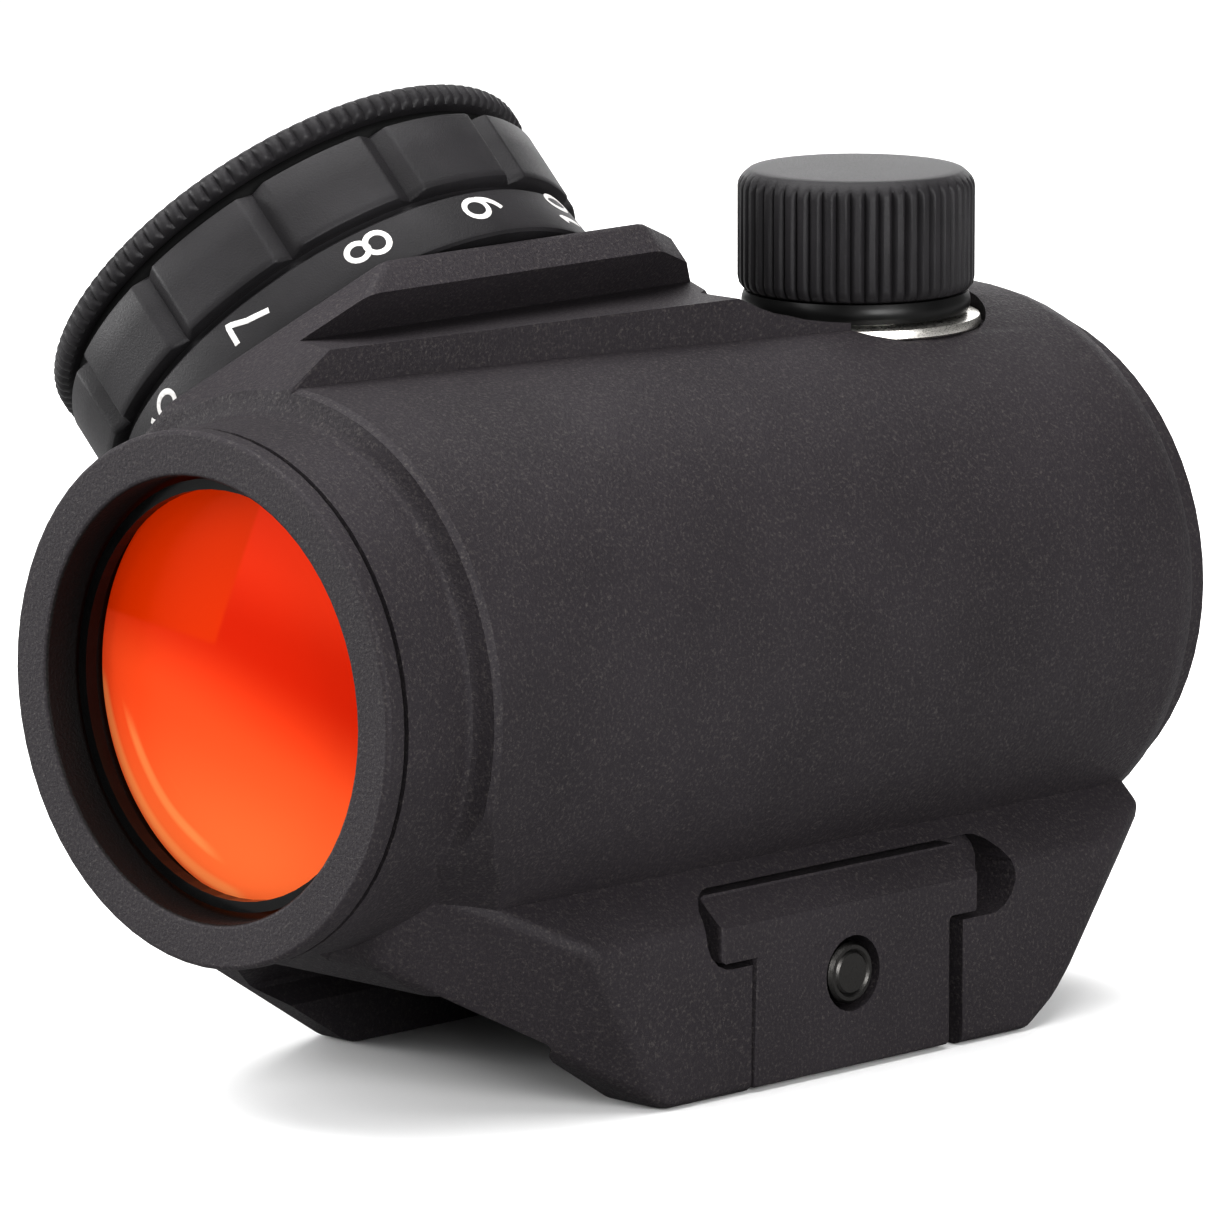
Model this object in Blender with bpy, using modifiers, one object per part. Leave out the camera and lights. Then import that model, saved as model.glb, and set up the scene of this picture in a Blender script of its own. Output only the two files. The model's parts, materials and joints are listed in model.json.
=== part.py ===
"""Compact tube red dot sight with a built-in rail clamp.

Sizes are millimetres. x is to the side of the clamp pocket, y runs back along the optical
axis from the front face of the tube, and z is the height above the optical axis. world_point
moves such a point to the part's own frame, whose origin is the centre of the rail seat.
The dial axis leans 45 degrees from vertical, away from the clamp pocket. On it, h is the
distance from the optical axis along the dial axis, and e is the distance across it.
"""
import math

import bmesh
import bpy
from mathutils import Matrix, Vector

MM = 0.001
GAP = 0.3
ROUND_STEPS = 64
SMALL_STEPS = 24
SHARP_ANGLE = math.radians(32)
MERGE = 1.0e-6
SHORTEST_EDGE = 0.3

# driving dimensions of the tube
LENGTH = 62.0
BARREL_R = 15.64
COLLAR_R = 14.0
BORE_R = 13.2
FRONT_SHOULDER_Y = 6.15
REAR_EDGE_Y = 58.1
RING_WIDTH = 1.15
FRONT_OPENING_R = 11.64
SPIGOT_R = 12.9
SPIGOT_END_Y = 7.4
LENS_R = 11.3
CLEAR_R = 10.73

# rail base
SEAT_Z = -15.8
BASE_BOTTOM_Z = -22.73
BASE_NEAR_X = 14.0
BASE_FAR_X = -13.4
WAIST_X = 11.2
WAIST_Z = -10.93
SHOULDER_DROP = 2.54
RAIL_TOP_HALF = 8.0
FLANK_DEPTH = 2.9
FLANK_FLAT = 0.3
RELIEF_FRONT_Y = 31.9
RELIEF_REAR_Y = 36.5
LIP_HALF = 9.9
SCREW_Y = 34.2
SCREW_Z = -17.45
SCREW_HOLE_R = 2.05
SCREW_R = 1.7
SCREW_HEAD_R = 3.1
SCREW_HEAD_X = -12.4
SCREW_END_X = 13.75
JAW_FRONT_Y = 26.85
JAW_REAR_Y = 41.85
JAW_ARM_FRONT_Y = 24.2
JAW_ARM_REAR_Y = 44.0
JAW_TOP_Z = -12.05
JAW_ARM_Z = -15.5

# turrets
TURRET_Y = 49.05
TURRET_SEAT_H = 14.2
TURRET_SPOT_R = 7.05
ADJUSTER_R = 3.5
CAP_R = 6.44
CAP_BOTTOM_H = 16.2
CAP_TOP_H = 22.75

# brightness dial
DIAL_Y = 24.2
DIAL_TILT = math.radians(45)
PEDESTAL_TOP_H = 16.15
NECK_TOP_Z = 17.4
DIAL_BOTTOM_H = 16.45
DIAL_TOP_H = 24.4
DIAL_R = 14.4
BAND_TOP_H = 19.7
GRIP_COUNT = 12
GRIP_R = 0.8
DIAL_PHASE = math.radians(-2)
SWITCH_WELL_R = 11.6
SWITCH_WELL_H = 14.35
SPINDLE_R = 3.0
DETENT_R = 0.62
DETENT_REACH = 12.6
COVER_TOP_H = 26.7
COVER_BOTTOM_H = 25.25
PLUG_R = 12.5
WELL_R = 12.9
COIN_R = 10.0
COIN_BOTTOM_H = 20.75
COIN_THICKNESS = 3.2

COLORS = {
    "anodised": ((0.045, 0.042, 0.046), 0.55, 0.3),
    "cap_black": ((0.05, 0.048, 0.052), 0.5, 0.2),
    "gloss_black": ((0.008, 0.008, 0.009), 0.18, 0.0),
    "rubber": ((0.012, 0.012, 0.013), 0.3, 0.0),
    "bright_metal": ((0.72, 0.71, 0.69), 0.25, 1.0),
    "steel": ((0.35, 0.35, 0.36), 0.35, 1.0),
    "brass": ((0.72, 0.55, 0.25), 0.3, 1.0),
    "lens_coating": ((1.0, 0.17, 0.02), 0.06, 0.0),
    "rear_glass": ((0.75, 0.85, 0.9), 0.05, 0.0),
    "board": ((0.02, 0.2, 0.08), 0.5, 0.0),
    "led_red": ((0.8, 0.03, 0.02), 0.2, 0.0),
}


def world_point(x, y, z):
    """Tube coordinates in millimetres to the part's frame in metres."""
    return Vector((x, y - LENGTH / 2, z - SEAT_Z)) * MM


def frame_at(point, z_axis, x_hint):
    """Matrix whose local Z runs along z_axis from a point given in tube coordinates."""
    z_dir = Vector(z_axis).normalized()
    y_dir = z_dir.cross(Vector(x_hint)).normalized()
    x_dir = y_dir.cross(z_dir)
    matrix = Matrix((x_dir, y_dir, z_dir)).transposed().to_4x4()
    matrix.translation = world_point(*point)
    return matrix


AXIS_FRAME = frame_at((0, 0, 0), (0, 1, 0), (1, 0, 0))
DIAL_AXIS = (-math.sin(DIAL_TILT), 0, math.cos(DIAL_TILT))
DIAL_FRAME = frame_at((0, DIAL_Y, 0), DIAL_AXIS, (math.cos(DIAL_TILT), 0, math.sin(DIAL_TILT)))
ELEVATION_FRAME = frame_at((0, TURRET_Y, 0), (0, 0, 1), (1, 0, 0))
WINDAGE_FRAME = frame_at((0, TURRET_Y, 0), (-1, 0, 0), (0, 0, 1))
PROFILE_FRAME = frame_at((0, 0, 0), (1, 0, 0), (0, 1, 0))
SECTION_FRAME = frame_at((0, 0, 0), (0, -1, 0), (1, 0, 0))
SCREW_FRAME = frame_at((0, SCREW_Y, SCREW_Z), (1, 0, 0), (0, 1, 0))


def clear_scene():
    for obj in list(bpy.data.objects):
        bpy.data.objects.remove(obj, do_unlink=True)


def new_collection(name):
    collection = bpy.data.collections.new(name)
    bpy.context.scene.collection.children.link(collection)
    return collection


clear_scene()
SIGHT = new_collection("red_dot_sight")
CUTTERS = new_collection("cutters")
MATERIALS = {}


def material(name):
    if name not in MATERIALS:
        color, roughness, metallic = COLORS[name]
        item = bpy.data.materials.new(name)
        item.use_nodes = True
        shader = item.node_tree.nodes["Principled BSDF"]
        shader.inputs["Base Color"].default_value = (*color, 1.0)
        shader.inputs["Roughness"].default_value = roughness
        shader.inputs["Metallic"].default_value = metallic
        item.diffuse_color = (*color, 1.0)
        MATERIALS[name] = item
    return MATERIALS[name]


def add_object(name, data, matrix, collection=CUTTERS):
    obj = bpy.data.objects.new(name, data)
    obj.matrix_world = matrix
    collection.objects.link(obj)
    if collection is CUTTERS:
        obj.hide_render = True
        obj.display_type = "WIRE"
    return obj


def bake(obj):
    """Replace an object's modifiers by the mesh that they make."""
    bpy.context.view_layer.update()
    evaluated = obj.evaluated_get(bpy.context.evaluated_depsgraph_get())
    mesh = bpy.data.meshes.new_from_object(evaluated)
    obj.modifiers.clear()
    obj.data = mesh
    return obj


def finish(obj, name, finish_name):
    """Make a scratch solid a named sub-part."""
    bake(obj)
    CUTTERS.objects.unlink(obj)
    SIGHT.objects.link(obj)
    obj.name = name
    obj.data.name = name
    obj.hide_render = False
    obj.display_type = "TEXTURED"
    obj.data.materials.clear()
    obj.data.materials.append(material(finish_name))
    obj.data.shade_smooth()
    obj.data.set_sharp_from_angle(angle=SHARP_ANGLE)
    return obj


def is_closed(mesh):
    shape = bmesh.new()
    shape.from_mesh(mesh)
    closed = all(len(edge.link_faces) == 2 for edge in shape.edges)
    shape.free()
    return closed


def combine(target, tool, operation):
    """Boolean with the exact solver, or with the manifold one where that leaves a hole."""
    before = target.data
    for solver in ("EXACT", "MANIFOLD"):
        target.data = before
        modifier = target.modifiers.new(operation.lower(), "BOOLEAN")
        modifier.operation = operation
        modifier.solver = solver
        modifier.object = tool
        bake(target)
        if is_closed(target.data):
            break
    bpy.data.objects.remove(tool, do_unlink=True)
    return target


def join(target, *tools):
    for tool in tools:
        combine(target, tool, "UNION")
    return target


def cut(target, *tools):
    for tool in tools:
        combine(target, tool, "DIFFERENCE")
    return target


def bevel(obj, width, segments=1, angle=30):
    modifier = obj.modifiers.new("bevel", "BEVEL")
    modifier.width = width * MM
    modifier.segments = segments
    modifier.limit_method = "ANGLE"
    modifier.angle_limit = math.radians(angle)
    modifier.use_clamp_overlap = True
    return bake(obj)


def turned(profile, matrix, steps=ROUND_STEPS):
    """Solid of revolution about local Z. The profile is (radius, height) points from the top
    of its outer side down. It is closed into a ring unless it starts on the axis."""
    mesh = bpy.data.meshes.new("profile")
    points = [(radius * MM, 0, height * MM) for radius, height in profile]
    edges = [(i, i + 1) for i in range(len(points) - 1)]
    if profile[0][0] > 0:
        edges.append((len(points) - 1, 0))
    mesh.from_pydata(points, edges, [])
    obj = add_object("turned", mesh, matrix)
    screw = obj.modifiers.new("screw", "SCREW")
    screw.steps = steps
    screw.render_steps = steps
    screw.use_merge_vertices = True
    screw.merge_threshold = MERGE
    return bake(obj)


def cylinder(radius, bottom, top, matrix, steps=ROUND_STEPS):
    return turned([(0, top), (radius, top), (radius, bottom), (0, bottom)], matrix, steps)


def ring(outer, inner, bottom, top, matrix, steps=ROUND_STEPS):
    return turned([(outer, top), (outer, bottom), (inner, bottom), (inner, top)], matrix, steps)


def plate(outline, bottom, top, matrix):
    """Flat outline in local XY, filled from the local height bottom to top."""
    curve = bpy.data.curves.new("outline", "CURVE")
    curve.dimensions = "2D"
    curve.fill_mode = "BOTH"
    curve.extrude = (top - bottom) / 2 * MM
    spline = curve.splines.new("POLY")
    spline.points.add(len(outline) - 1)
    for point, (x, y) in zip(spline.points, outline):
        point.co = (x * MM, y * MM, 0, 1)
    spline.use_cyclic_u = True
    middle = Matrix.Translation((0, 0, (top + bottom) / 2 * MM))
    holder = add_object("outline", curve, matrix @ middle)
    bpy.context.view_layer.update()
    evaluated = holder.evaluated_get(bpy.context.evaluated_depsgraph_get())
    mesh = bpy.data.meshes.new_from_object(evaluated)
    bpy.data.objects.remove(holder, do_unlink=True)
    shape = bmesh.new()
    shape.from_mesh(mesh)
    bmesh.ops.remove_doubles(shape, verts=shape.verts, dist=MERGE)
    bmesh.ops.recalc_face_normals(shape, faces=shape.faces)
    bmesh.ops.dissolve_limit(shape, angle_limit=math.radians(1), verts=shape.verts,
                             edges=shape.edges)
    shape.to_mesh(mesh)
    shape.free()
    return add_object("plate", mesh, matrix @ middle)


def rounded(corners, radius, steps=5):
    """Outline with each corner replaced by an arc."""
    points = []
    count = len(corners)
    for i, corner in enumerate(corners):
        here = Vector(corner)
        before = (Vector(corners[i - 1]) - here).normalized()
        after = (Vector(corners[(i + 1) % count]) - here).normalized()
        half = before.angle(after) / 2
        reach = radius / math.tan(half)
        start = here + before * reach
        end = here + after * reach
        centre = here + (before + after).normalized() * (radius / math.sin(half))
        for step in range(steps + 1):
            blend = start.lerp(end, step / steps) - centre
            point = centre + blend.normalized() * radius
            points.append((point.x, point.y))
    return points


def half_spaces(low, high, planes):
    """Convex block: a box from low to high, less what lies outside each (point, normal).
    Edges too short to be rounded are merged."""
    shape = bmesh.new()
    bmesh.ops.create_cube(shape, size=1)
    for vert in shape.verts:
        corner = [high[i] if vert.co[i] > 0 else low[i] for i in range(3)]
        vert.co = world_point(*corner)
    for point, normal in planes:
        geometry = shape.verts[:] + shape.edges[:] + shape.faces[:]
        cut_result = bmesh.ops.bisect_plane(shape, geom=geometry, plane_co=world_point(*point),
                                            plane_no=Vector(normal), clear_outer=True)
        rim = [item for item in cut_result["geom_cut"] if isinstance(item, bmesh.types.BMEdge)]
        bmesh.ops.edgenet_fill(shape, edges=rim)
    bmesh.ops.remove_doubles(shape, verts=shape.verts, dist=SHORTEST_EDGE * MM)
    bmesh.ops.recalc_face_normals(shape, faces=shape.faces)
    mesh = bpy.data.meshes.new("block")
    shape.to_mesh(mesh)
    shape.free()
    return add_object("block", mesh, Matrix.Identity(4))


def base_front():
    """Plane of the base's sloping front."""
    return (0, 6.2, -14.0), (0, -1, -1.6)


def tube_solids():
    """Barrel and collar, both still solid. The barrel's lower front corners slant back to the
    base, and between them it follows the base's front."""
    outer = [(0, 60.6), (14.3, 60.6), (15.2, 59.5), (BARREL_R, REAR_EDGE_Y),
             (BARREL_R, FRONT_SHOULDER_Y + 0.4), (15.4, FRONT_SHOULDER_Y), (14.6, 6.05),
             (14.2, 5.8), (COLLAR_R, 5.4), (0, 5.4)]
    barrel = turned(outer, AXIS_FRAME)
    point, normal = base_front()
    planes = [(Vector(point) + Vector((0, 0.02, 0)), normal)]
    for side in (1, -1):
        planes.append(((side * 13.5, 7.8, -7.8), (side * 1.15, -1, -1.03)))
        planes.append(((side * 12.2, 9.8, -9.8), (side * 1.15, -1, -1.75)))
    combine(barrel, half_spaces((-20, -1, -20), (20, 64, 20), planes), "INTERSECT")
    return join(barrel, cylinder(COLLAR_R, RING_WIDTH + GAP, 20, AXIS_FRAME))


def base_block():
    """Rail base: steep front and rear, chamfered corners and a sloping shoulder each side."""
    low = (BASE_FAR_X, FRONT_SHOULDER_Y, BASE_BOTTOM_Z)
    high = (BASE_NEAR_X, 58.9, -7.0)
    planes = [base_front(), ((0, 60.8, -14.0), (0, 1, -1.45)),
              ((BASE_NEAR_X, 14.8, -13.4), (1.15, -1, -0.593)),
              ((BASE_FAR_X + 1.0, 6.2, -14.0), (-2.0, -1, -1.6))]
    for side, edge_x in ((1, BASE_NEAR_X), (-1, BASE_FAR_X)):
        planes.append(((edge_x, 55.5, -13.4), (side * 1.36, 1, -0.7)))
        planes.append(((edge_x, 30, WAIST_Z - SHOULDER_DROP), (side * SHOULDER_DROP, 0, 2.8)))
    return bevel(half_spaces(low, high, planes), 0.9, 3, 12)


def groove_cutter():
    """Rail groove: flat seat, 45 degree flanks and a 45 degree hook at each side."""
    widest = RAIL_TOP_HALF + FLANK_DEPTH
    widest_z = SEAT_Z - FLANK_DEPTH
    hook_z = widest_z - FLANK_FLAT
    half = [(RAIL_TOP_HALF, SEAT_Z), (widest, widest_z), (widest, hook_z),
            (LIP_HALF, hook_z - (widest - LIP_HALF)), (LIP_HALF, BASE_BOTTOM_Z - 2)]
    outline = half + [(-x, z) for x, z in reversed(half)]
    return plate(outline, -64, 2, SECTION_FRAME)


def from_dial(e, y, h):
    """Point or direction given across, behind and along the dial axis, in tube axes."""
    root = math.sqrt(0.5)
    return ((e - h) * root, y, (e + h) * root)


def far_twin(obj):
    """Copy mirrored across the plane of the dial axis and the optical axis."""
    lift = -SEAT_Z * MM
    mirror = Matrix(((0, 0, -1, lift), (0, 1, 0, 0), (-1, 0, 0, lift), (0, 0, 0, 1)))
    mesh = obj.data.copy()
    mesh.transform(mirror @ obj.matrix_world)
    mesh.flip_normals()
    return add_object("twin", mesh, Matrix.Identity(4))


def front_corner(side, outset=0.0):
    """Plane of the pedestal's slanting front corner on one side."""
    normal = Vector(from_dial(side * 0.4625, -0.566, 0.6845))
    return Vector(from_dial(side * 14.0, 15.0, PEDESTAL_TOP_H)) + normal * outset, normal


def pedestal_slab():
    """Slab under the dial, square to the dial axis, with slanting corners front and rear."""
    rear = [(14.0, 34.0), (12.5, 37.0), (9.4, 39.7), (5.0, 41.0)]
    planes = [(from_dial(0, 0, PEDESTAL_TOP_H), from_dial(0, 0, 1)),
              (from_dial(0, 0, 6.0), from_dial(0, 0, -1))]
    for side in (1, -1):
        planes.append((from_dial(side * 14.0, 0, 0), from_dial(side, 0, 0)))
        planes.append(front_corner(side))
        for (e, y), (next_e, next_y) in zip(rear, rear[1:]):
            planes.append((from_dial(side * e, y, 0),
                           from_dial(side * (next_y - y), e - next_e, 0)))
    slab = half_spaces((-32, FRONT_SHOULDER_Y, -12), (12, 41.5, 32), planes)
    return bevel(slab, 0.5, 2, 25)


def neck_side():
    """One side of the neck under the slab, running out along the top of the barrel. Its front
    corner is nearly flush with the slab's."""
    spine = [(FRONT_SHOULDER_Y, 9), (FRONT_SHOULDER_Y, NECK_TOP_Z), (36.0, NECK_TOP_Z)]
    spine += [(36.0 + 8.4 * step / 6, 15.3 + 2.1 * (1 - step / 6) ** 2) for step in range(1, 7)]
    spine += [(44.4, 9)]
    corner = half_spaces((-10, 0, 0), (20, 60, 30), [front_corner(1, 0.03)])
    return combine(plate(spine, -2.4, 7.0, PROFILE_FRAME), corner, "INTERSECT")


def neck_side_cutter():
    """What is cut beside the neck: its wall stands further out towards the rear."""
    top_view = frame_at((0, 0, 0), (0, 0, 1), (1, 0, 0))
    return plate([(0.48, 5.0), (30.0, 5.0), (30.0, 50.0), (5.33, 50.0)], -30, 17.6, top_view)


def notch_cutter():
    """Wedge shaped notch between the neck's flat top and the slab's underside."""
    wedge = [(-2.4, NECK_TOP_Z), (16.0, NECK_TOP_Z), (16.0, NECK_TOP_Z + 18.4)]
    return plate(wedge, -64, -4.9, SECTION_FRAME)


def with_twin(target, tool, action):
    twin = far_twin(tool)
    action(target, tool)
    return action(target, twin)


def pedestal_solid():
    """Dial housing: the slab on its neck, with a notch along each side."""
    pedestal = pedestal_slab()
    with_twin(pedestal, notch_cutter(), cut)
    with_twin(pedestal, neck_side_cutter(), cut)
    neck = cut(neck_side(), neck_side_cutter())
    return with_twin(pedestal, neck, join)


def cross_relief(near_x, top_z):
    """Slot across the groove that keeps the seat and the hooks clear of the cross screw."""
    outline = [(-near_x, -24), (-near_x, top_z), (near_x, top_z), (near_x, -24)]
    return plate(outline, -RELIEF_REAR_Y, -RELIEF_FRONT_Y, SECTION_FRAME)


def turret_seat_cutter(matrix):
    spot = cylinder(TURRET_SPOT_R, TURRET_SEAT_H, 20, matrix)
    shaft = cylinder(4.2, 11, 15, matrix, SMALL_STEPS)
    return join(spot, shaft)


def main_body():
    body = join(tube_solids(), base_block(), pedestal_solid())
    cut(body, cylinder(BORE_R, -1, 64, AXIS_FRAME), groove_cutter())
    cut(body, turret_seat_cutter(ELEVATION_FRAME), turret_seat_cutter(WINDAGE_FRAME))
    cut(body, clamp_pocket())
    cut(body, cross_relief(11.3, SEAT_Z + 0.3))
    cut(body, cylinder(SCREW_HOLE_R, -20, 12, SCREW_FRAME, SMALL_STEPS))
    cut(body, cylinder(SCREW_HEAD_R + 0.5, -20, -11.6, SCREW_FRAME, SMALL_STEPS))
    cut(body, cylinder(SWITCH_WELL_R, SWITCH_WELL_H, 20, DIAL_FRAME))
    cut(body, cylinder(SPINDLE_R + GAP, 13.6, 15, DIAL_FRAME, SMALL_STEPS))
    cut(body, cylinder(DETENT_R + 0.23, 13.9, 17, detent_frame(), SMALL_STEPS))
    return finish(body, "main_body", "anodised")


def clamp_pocket():
    """Pocket for the clamp plate, open to the side, to the groove and at the foot."""
    arms = rounded([(23.1, -11.75), (23.1, -15.85), (46.9, -15.85), (46.9, -11.75)], 1.95)
    stem = [(JAW_FRONT_Y - GAP, -15.0), (JAW_FRONT_Y - GAP, -24.0), (42.75, -24.0),
            (42.75, -15.0)]
    pocket = plate(arms, 11.0, 16.0, PROFILE_FRAME)
    return join(pocket, plate(stem, 9.0, 16.0, PROFILE_FRAME))


def clamp_plate():
    """T shaped jaw: arms in the pocket, and a hooked lip that grips the rail's edge."""
    outline = [(JAW_ARM_FRONT_Y, JAW_TOP_Z), (JAW_ARM_FRONT_Y, JAW_ARM_Z),
               (JAW_FRONT_Y, JAW_ARM_Z), (JAW_FRONT_Y, -22.55), (JAW_REAR_Y, -22.55),
               (JAW_REAR_Y, JAW_ARM_Z), (JAW_ARM_REAR_Y, JAW_ARM_Z),
               (JAW_ARM_REAR_Y, JAW_TOP_Z)]
    jaw = bevel(plate(outline, LIP_HALF, BASE_NEAR_X, PROFILE_FRAME), 0.3, 2)
    slope = [(12.0, -10.0), (12.4, JAW_TOP_Z - 0.15), (BASE_NEAR_X, -13.6), (16, -13.6),
             (16, -10)]
    cut(jaw, plate(slope, -60, -20, SECTION_FRAME))
    behind_arms = [(9, -10), (11.3, -10), (11.3, -15.6), (9, -15.6)]
    cut(jaw, plate(behind_arms, -60, -20, SECTION_FRAME))
    relief = [(9, -15.4), (11.4, -15.4), (11.4, -18.2), (9, -20.6)]
    cut(jaw, plate(relief, -60, -20, SECTION_FRAME), cross_relief(11.6, SEAT_Z))
    cut(jaw, cylinder(SCREW_HOLE_R, 8, 16, SCREW_FRAME, SMALL_STEPS))
    return finish(jaw, "clamp_plate", "anodised")


def clamp_screw():
    """Cross screw: slotted end in the clamp plate, socket head on the far side."""
    profile = [(0, SCREW_END_X), (SCREW_R - 0.35, SCREW_END_X), (SCREW_R, SCREW_END_X - 0.35),
               (SCREW_R, SCREW_HEAD_X), (SCREW_HEAD_R, SCREW_HEAD_X), (SCREW_HEAD_R, -14.7),
               (SCREW_HEAD_R - 0.3, -15.0), (0, -15.0)]
    screw = turned(profile, SCREW_FRAME, SMALL_STEPS)
    cut(screw, turned([(0, -13.2), (1.4, -13.2), (1.4, -16), (0, -16)], SCREW_FRAME, 6))
    return finish(screw, "clamp_screw", "steel")


def clamp_washer():
    washer = ring(SCREW_HEAD_R + 0.1, SCREW_R + GAP, -12.1, -11.9, SCREW_FRAME, SMALL_STEPS)
    return finish(washer, "clamp_washer", "steel")


def bezel(name, mirror):
    """Ring that holds a lens: a flange outside, a spigot in the tube and a lip inside."""
    flange_r = COLLAR_R + 0.04
    lip_y = SPIGOT_END_Y - 1.2
    lip_r = 10.4
    profile = [(SPIGOT_R, SPIGOT_END_Y), (SPIGOT_R, RING_WIDTH), (flange_r, RING_WIDTH),
               (flange_r, 0.2), (flange_r - 0.19, 0), (FRONT_OPENING_R + 0.15, 0),
               (FRONT_OPENING_R, 0.15), (FRONT_OPENING_R, lip_y), (lip_r, lip_y),
               (lip_r, SPIGOT_END_Y)]
    if mirror:
        profile = [(radius, LENGTH - height) for radius, height in reversed(profile)]
    return finish(turned(profile, AXIS_FRAME), name, "anodised")


def lenses():
    """Front lens with a hollow face, flat rear window, and the glossy ring at each."""
    bulge = [(LENS_R * step / 8, 3.1 + 0.5 * (1 - (step / 8) ** 2)) for step in range(9)]
    front = [(0, 5.8), (LENS_R, 5.8)] + list(reversed(bulge))
    finish(turned(front, AXIS_FRAME), "objective_lens", "lens_coating")
    rear = [(0, LENGTH - 3.0), (LENS_R, LENGTH - 3.0), (LENS_R, LENGTH - 5.0), (0, LENGTH - 5.0)]
    finish(turned(rear, AXIS_FRAME), "ocular_lens", "rear_glass")
    for name, bottom in (("front_lens_seal", 2.0), ("rear_lens_seal", LENGTH - 2.7)):
        finish(ring(LENS_R, CLEAR_R, bottom, bottom + 0.75, AXIS_FRAME), name, "gloss_black")


def inner_optics():
    """Optical carrier in its gimbal ring, with the light source on an arm at its rear."""
    carrier = ring(10.6, 9.9, 12.0, 52.0, AXIS_FRAME, 40)
    join(carrier, ring(11.4, 10.2, 49.0, 51.0, AXIS_FRAME, 40))
    finish(carrier, "inner_tube", "cap_black")
    finish(ring(12.7, 11.0, 12.5, 14.5, AXIS_FRAME, 40), "gimbal_ring", "steel")
    arm = [(-1.5, 9.5), (1.5, 9.5), (1.5, 7.4), (-1.5, 7.4)]
    finish(plate(arm, 44.0, 47.0, AXIS_FRAME), "led_bracket", "steel")
    chip = [(-0.9, 8.9), (0.9, 8.9), (0.9, 7.6), (-0.9, 7.6)]
    finish(plate(chip, 43.0, 43.7, AXIS_FRAME), "led_emitter", "led_red")
    leaf = [(36.0, -11.1), (40.0, -12.6), (44.0, -11.1), (44.0, -11.4), (40.0, -12.9),
            (36.0, -11.4)]
    finish(plate(leaf, -2.0, 2.0, PROFILE_FRAME), "bias_spring", "steel")


def turret(name, matrix):
    """Cap, gasket, threaded seat and slotted adjuster of one turret."""
    cap = [(0, CAP_TOP_H), (5.94, CAP_TOP_H), (CAP_R, CAP_TOP_H - 0.6), (CAP_R, CAP_BOTTOM_H),
           (5.5, CAP_BOTTOM_H), (5.5, CAP_TOP_H - 1.6), (0, CAP_TOP_H - 1.6)]
    finish(turned(cap, matrix), name + "_cap", "cap_black")
    gasket = [(6.05, 15.85), (6.2, 15.5), (6.05, 15.15), (5.3, 15.15), (5.3, 15.85)]
    finish(turned(gasket, matrix), name + "_gasket", "rubber")
    seat = [(5.0, 20.2), (5.0, 14.85), (6.7, 14.85), (6.7, TURRET_SEAT_H + GAP),
            (3.9, TURRET_SEAT_H + GAP), (3.9, 20.2)]
    finish(turned(seat, matrix, 40), name + "_seat", "bright_metal")
    screw = [(0, 19.4), (ADJUSTER_R, 19.4), (ADJUSTER_R, 18.0), (2.2, 18.0), (2.2, 12.0),
             (0, 12.0)]
    adjuster = turned(screw, matrix, SMALL_STEPS)
    slot = [(-4.0, -0.45), (4.0, -0.45), (4.0, 0.45), (-4.0, 0.45)]
    cut(adjuster, plate(slot, 18.7, 20.0, matrix))
    finish(adjuster, name + "_adjuster", "brass")


def dial():
    """Rotary switch: flared number band below, grips above, coin cell well inside."""
    floor_h = 18.9
    web_h = 17.6
    hub_r = SPINDLE_R + GAP
    cell_r = COIN_R + 0.6
    profile = [(WELL_R, DIAL_TOP_H), (DIAL_R - 0.3, DIAL_TOP_H), (DIAL_R, DIAL_TOP_H - 0.3),
               (DIAL_R, BAND_TOP_H + 0.3), (13.95, BAND_TOP_H - 0.2), (14.3, DIAL_BOTTOM_H + 0.2),
               (14.1, DIAL_BOTTOM_H), (11.9, DIAL_BOTTOM_H), (11.9, web_h), (hub_r, web_h),
               (hub_r, floor_h), (cell_r, floor_h), (cell_r, 22.9), (WELL_R, 22.9)]
    body = turned(profile, DIAL_FRAME)
    for index in range(GRIP_COUNT):
        angle = math.tau * (index + 0.5) / GRIP_COUNT + DIAL_PHASE
        offset = Vector((math.cos(angle), math.sin(angle), 0)) * (DIAL_R + GRIP_R / 3) * MM
        matrix = DIAL_FRAME @ Matrix.Translation(offset)
        cut(body, cylinder(GRIP_R, BAND_TOP_H + 0.1, DIAL_TOP_H + 1, matrix, 12))
    return finish(body, "brightness_dial", "cap_black")


def detent_frame():
    return DIAL_FRAME @ Matrix.Translation((0, -DETENT_REACH * MM, 0))


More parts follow.
